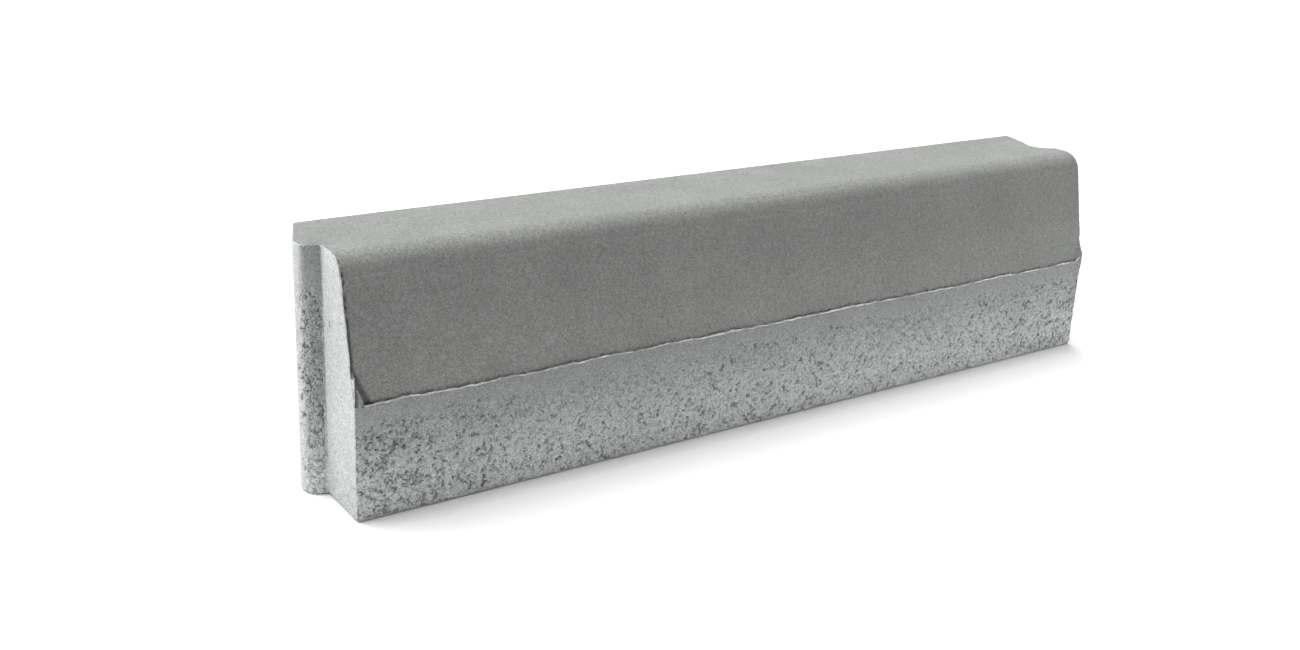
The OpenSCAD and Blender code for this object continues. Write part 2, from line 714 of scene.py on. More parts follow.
@dataclass
class KerbBody:
    """The cast body of the stone.

    Attributes:
        form: The exact form.
        skin: Where the closed skin ends.
        voxel: Cell size of the fine mesh before it is thinned out.
        triangles: How many triangles the finished mesh may have.
        painted_back_shade_share: Share of facing mix on the back, painted shade that darkens a face lit
            strongly by the light from behind.
        end_painted_shade_share: How strong the painted shade in the gaps on the two ends is, against the
            foot's.
        strip_depth: Depth of the groove beside the battered face's tongue-end edge.
        over_seam_depth: Depth of the marks just above the seam.
        facet_depths: How deep the gussets' facets are hollowed, at the two ends.
        mark_depth_of_full_shade: Depth at which a mark gets as much painted shade as an open gap.
        grain: The open grain.
        craters: The larger open voids.
        pinholes: The small holes of the closed skin.
    """

    form: KerbForm
    skin: SkinLine = field(default_factory=SkinLine)
    voxel: float = 1.0 * MM
    triangles: int = 196_000
    painted_back_shade_share: float = 0.78
    end_painted_shade_share: float = 0.62
    strip_depth: float = 1.9 * MM
    over_seam_depth: float = 0.9 * MM
    facet_depths: tuple[float, float] = (3.2 * MM, 0.5 * MM)
    mark_depth_of_full_shade: float = 1.4 * MM
    grain: OpenGrain = field(default_factory=OpenGrain)
    craters: Voids = Voids(Seed.CRATERS, 13 * MM, 0.22, (1.2 * MM, 3.2 * MM), 2.4 * MM, 2.4 * MM)
    pinholes: Voids = Voids(Seed.PINHOLES, 13 * MM, 0.30, (0.9 * MM, 1.5 * MM), 0.9 * MM, 0.8 * MM)

    def solid(self) -> bpy.types.Mesh:
        """Builds the plain solid: section and plan crossed, with its two gussets."""
        upright = Matrix(((0, 0, 1), (1, 0, 0), (0, 1, 0)))
        section = self.prism(self.form.section(), (-0.6, 0.6), upright)
        plan = self.prism(self.form.plan(), (-0.05, 0.35), Matrix.Identity(3))
        cross = section.modifiers.new("cross", "BOOLEAN")
        cross.operation, cross.object, cross.solver = "INTERSECT", plan, "EXACT"
        mesh = self.evaluated(section)
        shape = bmesh.new()
        shape.from_mesh(mesh)
        for end in (0, 1):
            corners, faces = self.form.gusset(end)
            verts = [shape.verts.new(corner) for corner in corners]
            added = [shape.faces.new([verts[i] for i in face]) for face in faces]
            bmesh.ops.recalc_face_normals(shape, faces=added)
        shape.to_mesh(mesh)
        shape.free()
        for scrap in (section, plan):
            bpy.data.objects.remove(scrap)
        return mesh

    @staticmethod
    def prism(
        outline: list[tuple[float, float]], reach: tuple[float, float], turn: Matrix
    ) -> bpy.types.Object:
        """Extrudes an outline to a closed prism.

        Args:
            outline: Its corners in its own plane.
            reach: Where it starts and ends across that plane.
            turn: Turns the plane's axes to the stone's.

        Returns:
            The prism, as an object.
        """
        shape = bmesh.new()
        rings = [[shape.verts.new(turn @ Vector((a, b, c))) for a, b in outline] for c in reach]
        for ring in rings:
            shape.faces.new(ring)
        join_rings(shape, *rings)
        return shown("prism", shape)

    def chips(self) -> tuple[Chip, ...]:
        """The corners that are broken off."""
        s = self.form.size
        half = s.length / 2
        heel = half - s.heel_setback
        cusp = (half - 3 * MM, s.face_y + s.tongue_offset - 2 * MM)
        return (
            Chip((cusp[0] + 1.5 * MM, cusp[1] + 7 * MM, s.height + 1.5 * MM), 5.5 * MM),
            Chip((half + 3 * MM, s.face_y - 2 * MM, -2.5 * MM), 7.5 * MM),
            Chip((-heel - 2.5 * MM, s.back_y + 2.5 * MM, s.height + 2.5 * MM), 7 * MM),
            Chip((-half - 2.5 * MM, s.face_y - 2.5 * MM, -2.5 * MM), 6 * MM),
            Chip((-half + 2 * MM, s.back_y + 3 * MM, -2.5 * MM), 7 * MM),
        )

    def wear_radius(self, points: Array) -> Array:
        """How far the arrises are worn back at each point.

        Args:
            points: Places near an arris, one row of three per point.

        Returns:
            The radius that the arris is rounded to.
        """
        s = self.form.size
        ragged = Lattice(Seed.WEAR).smooth(points, 9 * MM) + Lattice(Seed.WEAR_RAGS).smooth(points, 3 * MM)
        low = ramp(points[:, 2], s.seam_height, s.seam_height - 15 * MM)
        radius = 0.6 * MM + (0.6 + 0.9 * low) * MM * ragged
        radius += 1.2 * MM * ramp(points[:, 2], 6 * MM, 0.0)
        back_top = (points[:, 1] > 0) & (points[:, 2] > s.height - 8 * MM)
        radius += 1.1 * MM * back_top
        radius += 1.2 * MM * ramp(points[:, 0], s.length / 2 - 12 * MM, s.length / 2) * (ragged - 0.7)
        breaks = Voids(Seed.BREAKS, 45 * MM, 0.35, (4 * MM, 9 * MM), 4.0 * MM, 2.5 * MM)
        return radius + breaks.depth_at(points) * (0.15 + 0.85 * low)

    def worn(self, points: Array) -> tuple[Array, Array, Array]:
        """Rounds every arris by its own wear.

        Args:
            points: The fine mesh's vertices, one row of three per point.

        Returns:
            The moved points, each one's outward direction, and the Face that each
            lies on.
        """
        depth, out = self.form.depths(points)
        radius = self.wear_radius(points)[:, None]
        short = np.maximum(radius - depth, 0.0)
        pull = np.einsum("nk,nkc->nc", short, out)
        length = np.linalg.norm(pull, axis=1, keepdims=True) + 1e-12
        over = np.maximum(length - radius, 0.0)
        moved = points - pull / length * over
        return moved, pull / length, depth.argmin(axis=1)

    def openness(self, points: Array, face: Array) -> Array:
        """How open the grain is at each point: 0 is closed and 1 is usual.

        Args:
            points: Places on the surface, one row of three per point.
            face: The Face of each.

        Returns:
            The openness.
        """
        s = self.form.size
        x, y, z = points.T
        on_face = face == Face.PROFILE.value
        share = self.skin.open_share(points, on_face, s)
        share *= ~(on_face & (z > s.seam_height - 2 * MM))
        by_end = ramp(np.abs(x), 0.30, 0.49)
        low = ramp(z, 80 * MM, 20 * MM)
        amount = np.where(on_face, 0.80 + 0.16 * by_end + 0.12 * low, 0.76)
        at_end = Face.among(face, Face.TONGUE_END, Face.GROOVE_END)
        root = s.face_y + s.tongue_offset
        butt = at_end & (y < root)
        valley = ramp(np.abs(y - root), 26 * MM, 3 * MM)
        amount = np.where(at_end, 0.60 + 0.40 * valley, amount)
        amount = np.where(butt, 0.54 + 0.22 * low, amount)
        return share * amount

    def mould_marks(self, points: Array, face: Array) -> Array:
        """Depth of the marks that the mould's joints left.

        Args:
            points: Places on the surface, one row of three per point.
            face: The Face of each.

        Returns:
            The depth.
        """
        s = self.form.size
        x, _, z = points.T
        above = (face == Face.PROFILE.value) & (z > s.seam_height)
        ragged = Lattice(Seed.MARKS).smooth(points, 5 * MM)
        fine = Lattice(Seed.MARK_RAGS).smooth(points, 2 * MM)
        from_end = x + s.length / 2
        strip = ramp(from_end, 0.7 * MM, 1.7 * MM) * ramp(from_end, 5.0 * MM, 2.8 * MM)
        strip *= ramp(z, s.height - 1.5 * MM, s.height - 7.0 * MM)
        strong = ramp(z, s.height, s.seam_height + 30 * MM)
        depth = self.strip_depth * strip * ramp(0.5 * (ragged + fine) + 0.35 * strong, 0.38, 0.66)
        over_seam = ramp(z - s.seam_height, 5.0 * MM, 2.0 * MM)
        depth += self.over_seam_depth * over_seam * ramp(0.5 * (ragged + fine), 0.40, 0.62)
        for end in (0, 1):
            side = 1 - 2 * end
            along = side * x + s.length / 2
            rise = z - s.seam_height
            inner = rise / s.crests[end] + along / s.gusset_flat
            outer = rise / s.run_outs[end] + along / s.gusset_length
            t = (inner - 1.0) / np.maximum(inner - outer, 1e-6)
            facet = (inner > 1.0) & (outer < 1.12) & (rise > -0.5 * MM)
            depth += np.where(facet, self.facet_depths[end] * ramp(t, 0.0, 0.3) * ramp(t, 1.25, 0.75), 0.0)
        return np.where(above, depth, 0.0)

    def facing_share(self, points: Array, face: Array) -> Array:
        """Share of facing mix at each point, with the back darkened as painted shade.

        Args:
            points: Places on the surface, one row of three per point.
            face: The Face of each.

        Returns:
            0 on the core mix and 1 on the facing mix.
        """
        s = self.form.size
        above = (face == Face.PROFILE.value) & (points[:, 2] > s.seam_height)
        lean = np.array([math.cos(s.batter_angle), -math.sin(s.batter_angle)])
        from_seam = points[:, 1:] - np.array([s.face_y + s.seam_ledge, s.seam_height])
        behind = from_seam @ lean
        share = above * ramp(behind, -1.6 * MM, -0.6 * MM)
        # Painted shade: the back takes facing mix so that it reads darker under the light from behind, more
        # so towards its top.
        high = ramp(points[:, 2] + 12 * MM * Lattice(Seed.BACK_SHADE).smooth(points, 25 * MM), 0.15, 0.24)
        back = (face == Face.BACK.value) * (self.painted_back_shade_share + (1.0 - self.painted_back_shade_share) * 0.6 * high)
        return np.maximum(share, back)

    def cast(self, points: Array) -> tuple[Array, Array, Array, Array]:
        """Gives the plain fine mesh its worn and open surface.

        Args:
            points: The fine mesh's vertices, one row of three per point.

        Returns:
            The moved points, and at each the share of facing mix, of open grain and
            of open gap, which the finish darkens as painted shade with some dirt.
        """
        points, outward, face = self.worn(points)
        rise = points[:, 2] - self.form.size.seam_height
        seam = (face == Face.PROFILE.value) * ramp(np.abs(rise), 14 * MM, 3 * MM)
        amount = self.openness(points, face)
        marks = self.mould_marks(points, face)
        depth = 0.15 * MM * Lattice(Seed.SWELL).smooth(points, 60 * MM) + marks
        # Painted shade: the marks, the groove by the tongue-end edge and the gussets' facets count as gaps,
        # darkened in the finish as shade.
        gap = np.clip(marks / self.mark_depth_of_full_shade, 0.0, 1.7)
        rough = np.flatnonzero(amount > 0.01)
        grain_depth, grain_gap = self.grain.sample(points[rough], amount[rough])
        crater = self.craters.depth_at(points[rough]) * np.clip(amount[rough] * 1.2 - 0.2, 0.0, 1.2)
        hidden = Face.among(face[rough], Face.BACK, Face.BED)
        total = grain_depth + crater
        depth[rough] += np.where(hidden, 0.7, 1.0) * total
        gap[rough] = np.maximum(gap[rough], np.maximum(grain_gap, crater / (1.6 * MM)))
        tight = np.flatnonzero((amount <= 0.01) & (marks == 0.0))
        pinhole = self.pinholes.depth_at(points[tight])
        depth[tight] += pinhole
        gap[tight] = np.clip(pinhole / (0.6 * MM), 0.0, 1.0)
        at_end = Face.among(face, Face.TONGUE_END, Face.GROOVE_END)
        gap = np.where(at_end, self.end_painted_shade_share * gap, gap)
        facing = self.facing_share(points, face)
        points = points - outward * depth[:, None]
        points[:, 2] += seam * self.form.seam_stray(points[:, 0])
        for chip in self.chips():
            points = chip.cut(points)
        return points, facing, np.clip(amount, 0.0, 1.0), gap

    def build(self) -> bpy.types.Object:
        """Builds the finished body.

        Returns:
            The body, as an object of at most the stated number of triangles.
        """
        fine = bpy.data.objects.new("fine", self.solid())
        bpy.context.scene.collection.objects.link(fine)
        remesh = fine.modifiers.new("remesh", "REMESH")
        remesh.mode, remesh.voxel_size = "VOXEL", self.voxel * 1.0
        mesh = self.evaluated(fine)
        fine.modifiers.clear()
        fine.data = mesh

        flat = np.empty(len(mesh.vertices) * 3, np.float32)
        mesh.vertices.foreach_get("co", flat)
        points, *shares = self.cast(flat.reshape(-1, 3).astype(np.float64))
        mesh.vertices.foreach_set("co", points.astype(np.float32).ravel())
        # The gap share carries painted shade, with some dirt, into the finish.
        for name, share in zip(("facing", "open_grain", "gap"), shares):
            made = mesh.attributes.new(name, "FLOAT", "POINT")
            made.data.foreach_set("value", share.astype(np.float32))
        mesh.update()
        LOG.info("fine mesh: %d vertices", len(mesh.vertices))

        thin = fine.modifiers.new("thin", "DECIMATE")
        thin.ratio = min(1.0, self.triangles / (2 * len(mesh.polygons)))
        finished = self.evaluated(fine)
        bpy.data.objects.remove(fine)
        finished.name = "kerb_body"
        finished.shade_smooth()
        finished.set_sharp_from_angle(angle=math.radians(45))
        body = bpy.data.objects.new("kerb_body", finished)
        bpy.context.scene.collection.objects.link(body)
        return body

    @staticmethod
    def evaluated(thing: bpy.types.Object) -> bpy.types.Mesh:
        """Returns the mesh of an object with its modifiers applied."""
        graph = bpy.context.evaluated_depsgraph_get()
        return bpy.data.meshes.new_from_object(thing.evaluated_get(graph))


@dataclass(frozen=True)
class Flash:
    """A thin ragged ridge of squeezed-out fines along a mould joint.

    Attributes:
        name: Name of the piece.
        seed: Seed of its raggedness.
        path: Corners of the line it follows, each with the way it stands up there.
        side: Across the ridge, away from its open side.
        width: Width at its root.
        height: Greatest height.
        wander: How far its line strays.
        sunk: How deep its root is in the body.
        step: Distance between its sections.
        follow: The form whose straying seam it follows, if it does.
    """

    name: str
    seed: int
    path: tuple[tuple[Vector, Vector], ...]
    side: Vector
    width: float = 1.2 * MM
    height: float = 1.5 * MM
    wander: float = 0.0
    sunk: float = 0.6 * MM
    step: float = 1.3 * MM
    follow: KerbForm | None = None

    def stations(self) -> tuple[list[Vector], list[Vector]]:
        """Points along the path, one step apart, and the rise at each."""
        points, rises = [self.path[0][0]], [self.path[0][1]]
        for (start, rise), (end, rise_end) in zip(self.path, self.path[1:]):
            count = max(1, round((end - start).length / self.step))
            for i in range(1, count + 1):
                points.append(start.lerp(end, i / count))
                rises.append(rise.lerp(rise_end, i / count).normalized())
        return points, rises

    def build(self) -> bpy.types.Object:
        """Builds the ridge as a closed strip.

        Returns:
            The ridge, as an object.
        """
        points, rises = self.stations()
        places = np.array(points)
        broad = Lattice(self.seed).smooth(places, 26 * MM)
        fine = Lattice(self.seed + 1).smooth(places, 3.5 * MM)
        tall = self.height * np.clip(0.20 + 0.85 * broad + 1.1 * (fine - 0.5), 0.10, 1.0)
        lean = 0.6 * Lattice(self.seed + 2).smooth(places, 7 * MM)
        stray = Lattice(self.seed + 3).smooth(places, 14 * MM)
        stray += Lattice(self.seed + 4).smooth(places, 4 * MM) - 1.0
        thick = 0.6 + 0.8 * Lattice(self.seed + 5).smooth(places, 11 * MM)
        bend = np.zeros(len(points))
        if self.follow:
            bend = self.follow.seam_stray(places[:, 0])
        shape = bmesh.new()
        rings = []
        for i, (point, rise) in enumerate(zip(points, rises)):
            taper = min(1.0, (i + 0.3) / 4, (len(points) - i - 0.7) / 4)
            up, wide = float(tall[i]) * taper, self.width * float(thick[i])
            foot = point + rise * (self.wander * float(stray[i]) + float(bend[i]))
            profile = (
                (0.5, -self.sunk),
                (0.0, -0.1 * up),
                (0.0, 0.55 * up),
                (0.12 + 0.5 * lean[i], up),
                (0.35 + lean[i], 0.92 * up),
                (1.0, 0.2 * up),
                (1.0, -self.sunk),
            )
            rings.append(
                [shape.verts.new(foot + self.side * (wide * a) + rise * b) for a, b in profile]
            )
        for here, there in zip(rings, rings[1:]):
            join_rings(shape, here, there)
        shape.faces.new(rings[0])
        shape.faces.new(rings[-1])
        ridge = shown(self.name, shape)
        ridge.data.shade_smooth()
        ridge.data.set_sharp_from_angle(angle=math.radians(50))
        return ridge


@dataclass(frozen=True)
class FlashSet:
    """All the flash of the stone.

    Attributes:
        form: The exact form.
    """

    form: KerbForm

    def end_edge(self, x: float) -> list[tuple[Vector, Vector]]:
        """The end edge of the battered face and the arris, going up.

        Args:
            x: Which end, as its place along the stone.

        Returns:
            Points and outward directions.
        """
        s = self.form.size
        outward = Vector((0.0, -math.cos(s.batter_angle), math.sin(s.batter_angle)))
        end = 0 if x < 0 else 1
        start = s.seam_height + s.run_outs[end]
        corners = [(Vector((x, s.batter_y(start), start)), outward)]
        y, z = s.arris_centre
        for i in range(9):
            a = math.pi - s.batter_angle - i * math.radians(7)
            out = Vector((0.0, math.cos(a), math.sin(a)))
            corners.append((Vector((x, y, z)) + s.arris_radius * out, out))
        return corners

    def seam(self) -> Flash:
        """The flash that stands on the ledge of the seam."""
        s = self.form.size
        half, seam, up = s.length / 2, s.seam_height, Vector((0, 0, 1))
        y = s.face_y + 0.1 * MM
        corners = (
            (-half + s.gusset_flat, seam),
            (half - s.gusset_flat - 2 * MM, seam),
            (half - 0.35 * s.gusset_flat, seam + 0.55 * s.crests[1]),
            (half - 0.5 * MM, seam + s.crests[1] - 1 * MM),
        )
        path = tuple((Vector((x, y, z)), up) for x, z in corners)
        return Flash(
            "seam_flash", Seed.SEAM_FLASH, path, Vector((0, 1, 0)),
            height=1.7 * MM, wander=0.6 * MM, sunk=1.6 * MM, follow=self.form,
        )

    def tongue_edge(self) -> Flash:
        """The flash on the battered face's edge at the tongue end."""
        path = tuple(self.end_edge(-self.form.size.length / 2 + 0.1 * MM))
        return Flash(
            "tongue_edge_flash", Seed.TONGUE_FLASH, path, Vector((1, 0, 0)), width=1.0 * MM, height=0.8 * MM
        )

    def groove_edge(self) -> Flash:
        """The flash on the battered face's edge at the groove end."""
        end = self.form.size.length / 2
        along = Vector((1.0, 0.0, 0.0))
        path = tuple((point - 0.3 * MM * out, along) for point, out in self.end_edge(end))
        return Flash(
            "groove_edge_flash", Seed.GROOVE_FLASH, path, Vector((0, 1, 0)), width=1.4 * MM, height=2.0 * MM
        )

    def groove_flank(self) -> Flash:
        """The flash on the top edge of the groove's flank."""
        s = self.form.size
        x, y = s.nose_centre
        angle = s.flank_angle
        radius = s.nose_radius + s.joint_gap
        outward = Vector((math.cos(angle), -math.sin(angle), 0.0))
        start = Vector((x + s.length - radius * math.cos(angle), y + radius * math.sin(angle), 0))
        along = Vector((math.sin(angle), math.cos(angle), 0.0))
        top = Vector((0.0, 0.0, s.height - 0.3 * MM))
        reach = (s.back_y - start.y) / along.y
        path = tuple(
            (start + along * (t * reach) + top, outward) for t in (0.02, 0.30, 0.60, 0.85)
        )
        return Flash(
            "groove_flank_flash", Seed.FLANK_FLASH, path, Vector((0, 0, -1)), width=2.4 * MM, height=2.2 * MM
        )

    def build(self) -> list[bpy.types.Object]:
        """Builds every ridge."""
        flashes = (self.seam(), self.tongue_edge(), self.groove_edge(), self.groove_flank())
        return [flash.build() for flash in flashes]


class NodeBench:
    """Adds and wires the nodes of one tree."""

    def __init__(self, tree: bpy.types.NodeTree) -> None:
        """Starts on an empty tree."""
        self.tree = tree

    def node(self, kind: str, **settings: object) -> bpy.types.Node:
        """Adds a node.

        Args:
            kind: The node's type.
            **settings: Properties to set on it.

        Returns:
            The node.
        """
        made = self.tree.nodes.new(kind)
        for name, value in settings.items():
            setattr(made, name, value)
        return made

    @classmethod
    def of_material(cls, name: str) -> tuple["NodeBench", bpy.types.Material]:
        """Makes an empty material, and a bench for it."""
        material = bpy.data.materials.new(name)
        material.use_nodes = True
        material.node_tree.nodes.clear()
        return cls(material.node_tree), material

    def feed(self, socket: Socket, value: object) -> None:
        """Links a socket to the value where that is a socket, or sets it."""
        if isinstance(value, bpy.types.NodeSocket):
            self.tree.links.new(value, socket)
        else:
            socket.default_value = value

    def put(self, node: bpy.types.Node, **inputs: object) -> bpy.types.Node:
        """Fills a node's inputs by name, with a space for each underscore.

        Args:
            node: The node.
            **inputs: A socket to link from, or a value to set.

        Returns:
            The same node.
        """
        for name, value in inputs.items():
            self.feed(node.inputs[name.replace("_", " ")], value)
        return node

    def math(self, operation: str, *values: object) -> Socket:
        """Adds a Math node.

        Args:
            operation: What it does.
            *values: Its inputs, each a socket or a number.

        Returns:
            Its result.
        """
        made = self.node("ShaderNodeMath", operation=operation)
        for socket, value in zip(made.inputs, values):
            self.feed(socket, value)
        return made.outputs[0]

    def step(
        self, value: Socket, low: float, high: float, start: float = 0.0, end: float = 1.0
    ) -> Socket:
        """Adds a smooth step from start at low to end at high.

        Args:
            value: What is graded.
            low: Where the step starts.
            high: Where it ends.
            start: The result at low.
            end: The result at high.

        Returns:
            The graded value.
        """
        made = self.node("ShaderNodeMapRange", interpolation_type="SMOOTHSTEP")
        self.put(made, Value=value, From_Min=low, From_Max=high, To_Min=start, To_Max=end)
        return made.outputs["Result"]

    def noise(self, place: Socket, size: float, detail: float = 2.0) -> Socket:
        """Adds cloudy noise.

        Args:
            place: Where it is read.
            size: Size of its clouds.
            detail: Octaves of finer noise on it.

        Returns:
            Numbers about 0.5.
        """
        made = self.node("ShaderNodeTexNoise")
        self.put(made, Vector=place, Scale=1.0 / size, Detail=detail)
        return made.outputs["Fac"]

    def mix(self, share: Socket, first: object, second: object) -> Socket:
        """Adds a colour mix.

        Args:
            share: Share of the second colour.
            first: The first colour, a socket or a value.
            second: The second.

        Returns:
            The mixed colour.
        """
        made = self.node("ShaderNodeMix", data_type="RGBA")
        for index, value in ((0, share), (6, first), (7, second)):
            self.feed(made.inputs[index], value)
        return made.outputs[2]

    def wander(self, place: Socket, size: float, reach: float) -> Socket:
        """Bends the place that a texture is read at.

        Args:
            place: The straight place.
            size: Size of the bends.
            reach: How far they go.

        Returns:
            The bent place.
        """
        clouds = self.put(self.node("ShaderNodeTexNoise"), Vector=place, Scale=1.0 / size, Detail=1.0)
        moved = self.node("ShaderNodeVectorMath", operation="MULTIPLY_ADD")
        for socket, value in zip(moved.inputs, (clouds.outputs["Color"], (reach,) * 3, place)):
            self.feed(socket, value)
        return moved.outputs[0]

    def finish(self, colour: Socket, height: Socket, roughness: float) -> None:
        """Ends a material in a bumped, matte Principled shader.

        Args:
            colour: Its colour.
            height: Its bumps, in metres.
            roughness: How matte it is.
        """
        bump = self.put(self.node("ShaderNodeBump"), Height=height, Strength=1.0, Distance=1.0)
        shader = self.node("ShaderNodeBsdfPrincipled")
        self.put(shader, Base_Color=colour, Roughness=roughness, Normal=bump.outputs["Normal"])
        self.put(shader, Specular_IOR_Level=SPECULAR)
        self.put(self.node("ShaderNodeOutputMaterial"), Surface=shader.outputs["BSDF"])

    def rgb(self, colour: tuple[float, float, float, float]) -> Socket:
        """Adds a plain colour."""
        made = self.node("ShaderNodeRGB")
        made.outputs[0].default_value = colour
        return made.outputs[0]

    def scale_colour(self, colour: Socket, factor: Socket) -> Socket:
        """Multiplies a colour by a number."""
        made = self.node("ShaderNodeVectorMath", operation="SCALE")
        self.tree.links.new(colour, made.inputs[0])
        self.tree.links.new(factor, made.inputs["Scale"])
        return made.outputs[0]


class Effect(Enum):
    """The surface effects that the finishes share, each one a node group."""

    GRAIN = "Sand grain"
    CLOUDING = "Clouding"
    PORES = "Pores"
    CRACKS = "Grain cracks"


class EffectShelf:
    """Builds each shared effect once and hands it out."""

    INPUTS = {
        Effect.GRAIN: (("Grain Size", 0.9 * MM), ("Contrast", 0.12)),
        Effect.CLOUDING: (("Cloud Size", 80 * MM), ("Contrast", 0.08)),
        Effect.PORES: (("Spacing", 4 * MM), ("Share", 0.3), ("Radius", 0.5 * MM), ("Depth", 0.3 * MM)),
        Effect.CRACKS: (("Grain Size", 3.6 * MM), ("Crack Width", 0.6 * MM), ("Depth", 0.5 * MM)),
    }
    OUTPUTS = {
        Effect.GRAIN: ("Tint", "Height"),
        Effect.CLOUDING: ("Tint",),
        Effect.PORES: ("Mask", "Height"),
        Effect.CRACKS: ("Mask", "Tint", "Height"),
    }

    def __init__(self) -> None:
        """Builds every effect."""
        makers = {
            Effect.GRAIN: self.grain,
            Effect.CLOUDING: self.clouding,
            Effect.PORES: self.pores,
            Effect.CRACKS: self.cracks,
        }
        self.groups = {effect: self.group(effect, maker) for effect, maker in makers.items()}

    def group(self, effect: Effect, maker: object) -> bpy.types.NodeTree:
        """Builds one effect's node group.

        Args:
            effect: Which effect.
            maker: The method that fills the group.

        Returns:
            The group.
        """
        tree = bpy.data.node_groups.new(effect.value, "ShaderNodeTree")
        tree.interface.new_socket("Place", in_out="INPUT", socket_type="NodeSocketVector")
        for name, value in self.INPUTS[effect]:
            made = tree.interface.new_socket(name, in_out="INPUT", socket_type="NodeSocketFloat")
            made.default_value = value
        for name in self.OUTPUTS[effect]:
            tree.interface.new_socket(name, in_out="OUTPUT", socket_type="NodeSocketFloat")
        bench = NodeBench(tree)
        source = bench.node("NodeGroupInput").outputs
        results = maker(bench, source)
        bench.put(bench.node("NodeGroupOutput"), **results)
        return tree

    def grain(self, bench: NodeBench, source: object) -> dict[str, Socket]:
        """Sand grains: each has its own shade and stands out a little.

        Args:
            bench: The group's bench.
            source: The group's inputs.

        Returns:
            The group's outputs by name.
        """
        scale = bench.math("DIVIDE", 1.0, source["Grain Size"])
        cells = bench.node("ShaderNodeTexVoronoi")
        bench.put(cells, Vector=source["Place"], Scale=scale)
        shade = bench.node("ShaderNodeSeparateColor")
        bench.put(shade, Color=cells.outputs["Color"])
        fine = bench.node("ShaderNodeTexNoise")
        bench.put(fine, Vector=source["Place"], Scale=bench.math("MULTIPLY", scale, 0.8), Detail=3.0)
        both = bench.math("ADD", shade.outputs[0], bench.math("MULTIPLY", fine.outputs["Fac"], 2.0))
        centred = bench.math("SUBTRACT", both, 1.5)
        tint = bench.math("MULTIPLY_ADD", centred, source["Contrast"], 1.0)
        bumps = bench.math("MULTIPLY", cells.outputs["Distance"], source["Grain Size"])
        height = bench.math("MULTIPLY", bumps, -0.10)
        return {"Tint": tint, "Height": height}

    def clouding(self, bench: NodeBench, source: object) -> dict[str, Socket]:
        """Soft patches where the mix dried lighter or darker.

        Args:
            bench: The group's bench.
            source: The group's inputs.

        Returns:
            The group's outputs by name.
        """
        scale = bench.math("DIVIDE", 1.0, source["Cloud Size"])
        clouds = bench.node("ShaderNodeTexNoise")
        bench.put(clouds, Vector=source["Place"], Scale=scale, Detail=4.0, Roughness=0.6)
        centred = bench.math("SUBTRACT", clouds.outputs["Fac"], 0.5)
        doubled = bench.math("MULTIPLY", centred, 4.0)
        return {"Tint": bench.math("MULTIPLY_ADD", doubled, source["Contrast"], 1.0)}

    def pores(self, bench: NodeBench, source: object) -> dict[str, Socket]:
        """Small ragged pores, each in its own cell.

        Args:
            bench: The group's bench.
            source: The group's inputs.

        Returns:
            The group's outputs by name.
        """
        ragged = bench.wander(source["Place"], 2 * MM, 1.2 * MM)
        cells = bench.node("ShaderNodeTexVoronoi")
        scale = bench.math("DIVIDE", 1.0, source["Spacing"])
        bench.put(cells, Vector=ragged, Scale=scale)
        shade = bench.node("ShaderNodeSeparateColor")
        bench.put(shade, Color=cells.outputs["Color"])
        there = bench.math("LESS_THAN", shade.outputs[0], source["Share"])
        own = bench.math("MULTIPLY_ADD", shade.outputs[1], 0.8, 0.5)
        radius = bench.math("MULTIPLY", own, source["Radius"])
        away = bench.math("MULTIPLY", cells.outputs["Distance"], source["Spacing"])
        inside = bench.math("SUBTRACT", 1.0, bench.math("DIVIDE", away, radius))
        bowl = bench.math("MULTIPLY", bench.step(inside, 0.0, 0.6), there)
        height = bench.math("MULTIPLY", bench.math("MULTIPLY", bowl, source["Depth"]), -1.0)
        return {"Mask": bowl, "Height": height}

    def cracks(self, bench: NodeBench, source: object) -> dict[str, Socket]:
        """Rounded grains with open cracks round some of them.

        Args:
            bench: The group's bench.
            source: The group's inputs.

        Returns:
            The group's outputs by name.
        """
        place = source["Place"]
        for size, reach in ((3.4 * MM, 1.7 * MM), (1.3 * MM, 0.9 * MM)):
            place = bench.wander(place, size, reach)
        scale = bench.math("DIVIDE", 1.0, source["Grain Size"])
        edges = bench.node("ShaderNodeTexVoronoi", feature="DISTANCE_TO_EDGE")
        bench.put(edges, Vector=place, Scale=scale)
        cells = bench.put(bench.node("ShaderNodeTexVoronoi"), Vector=place, Scale=scale)
        shade = bench.put(bench.node("ShaderNodeSeparateColor"), Color=cells.outputs["Color"])
        width = bench.math("DIVIDE", source["Crack Width"], source["Grain Size"])
        inside = bench.math("DIVIDE", edges.outputs["Distance"], width)
        line = bench.step(inside, 1.0, 0.25)
        gate = bench.step(bench.noise(source["Place"], 5.0 * MM, 2.0), 0.46, 0.62)
        mask = bench.math("MULTIPLY", line, gate)
        tint = bench.math("MULTIPLY_ADD", bench.math("SUBTRACT", shade.outputs[0], 0.5), 0.16, 1.0)
        dome = bench.step(edges.outputs["Distance"], 0.0, 0.35)
        height = bench.math("MULTIPLY", dome, bench.math("MULTIPLY_ADD", gate, 0.7, 0.3))
        height = bench.math("MULTIPLY_ADD", mask, -0.8, height)
        return {"Mask": mask, "Tint": tint, "Height": bench.math("MULTIPLY", height, source["Depth"])}

    def use(self, effect: Effect, bench: NodeBench, place: Socket, **values: float) -> bpy.types.Node:
        """Places an effect in a material.

        Args:
            effect: Which effect.
            bench: The material's bench.
            place: Where it is read.
            **values: Its own values by input name.

        Returns:
            The group node.
        """
        made = bench.node("ShaderNodeGroup", node_tree=self.groups[effect])
        return bench.put(made, Place=place, **values)


